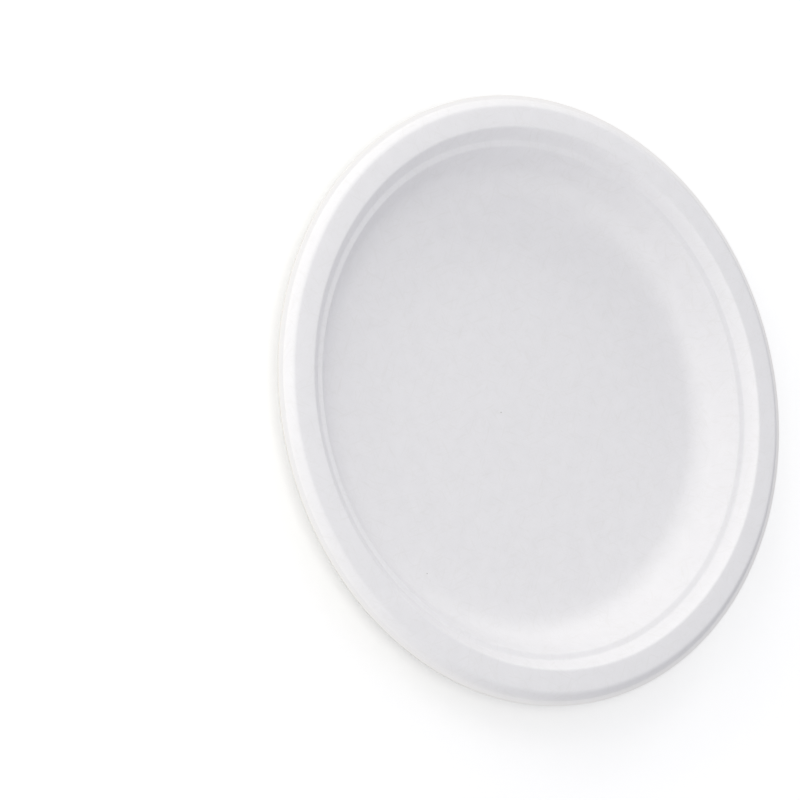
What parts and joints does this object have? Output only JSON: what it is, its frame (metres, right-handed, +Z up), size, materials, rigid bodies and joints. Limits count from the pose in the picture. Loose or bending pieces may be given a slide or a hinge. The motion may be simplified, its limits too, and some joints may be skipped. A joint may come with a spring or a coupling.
{
  "type": "bagasse plate",
  "caption": "Round shallow plate moulded in one piece from pressed sugar-cane pulp, with a flat base, a stepped bowl wall, a flat flange and a turned-down shoulder ending in a thin lip.",
  "frame": {"origin": "centre of the flat underside of the base, on the surface that the plate stands on", "axes": "+Z up along the plate's own axis, out of the food side; X and Y are any two diameters, because the plate is round"},
  "size_m": [0.229, 0.229, 0.02],
  "materials": {
    "pulp": "matt pressed pulp"
  },
  "bodies": {
    "root": {"plate": "pulp"}
  },
  "joints": []
}
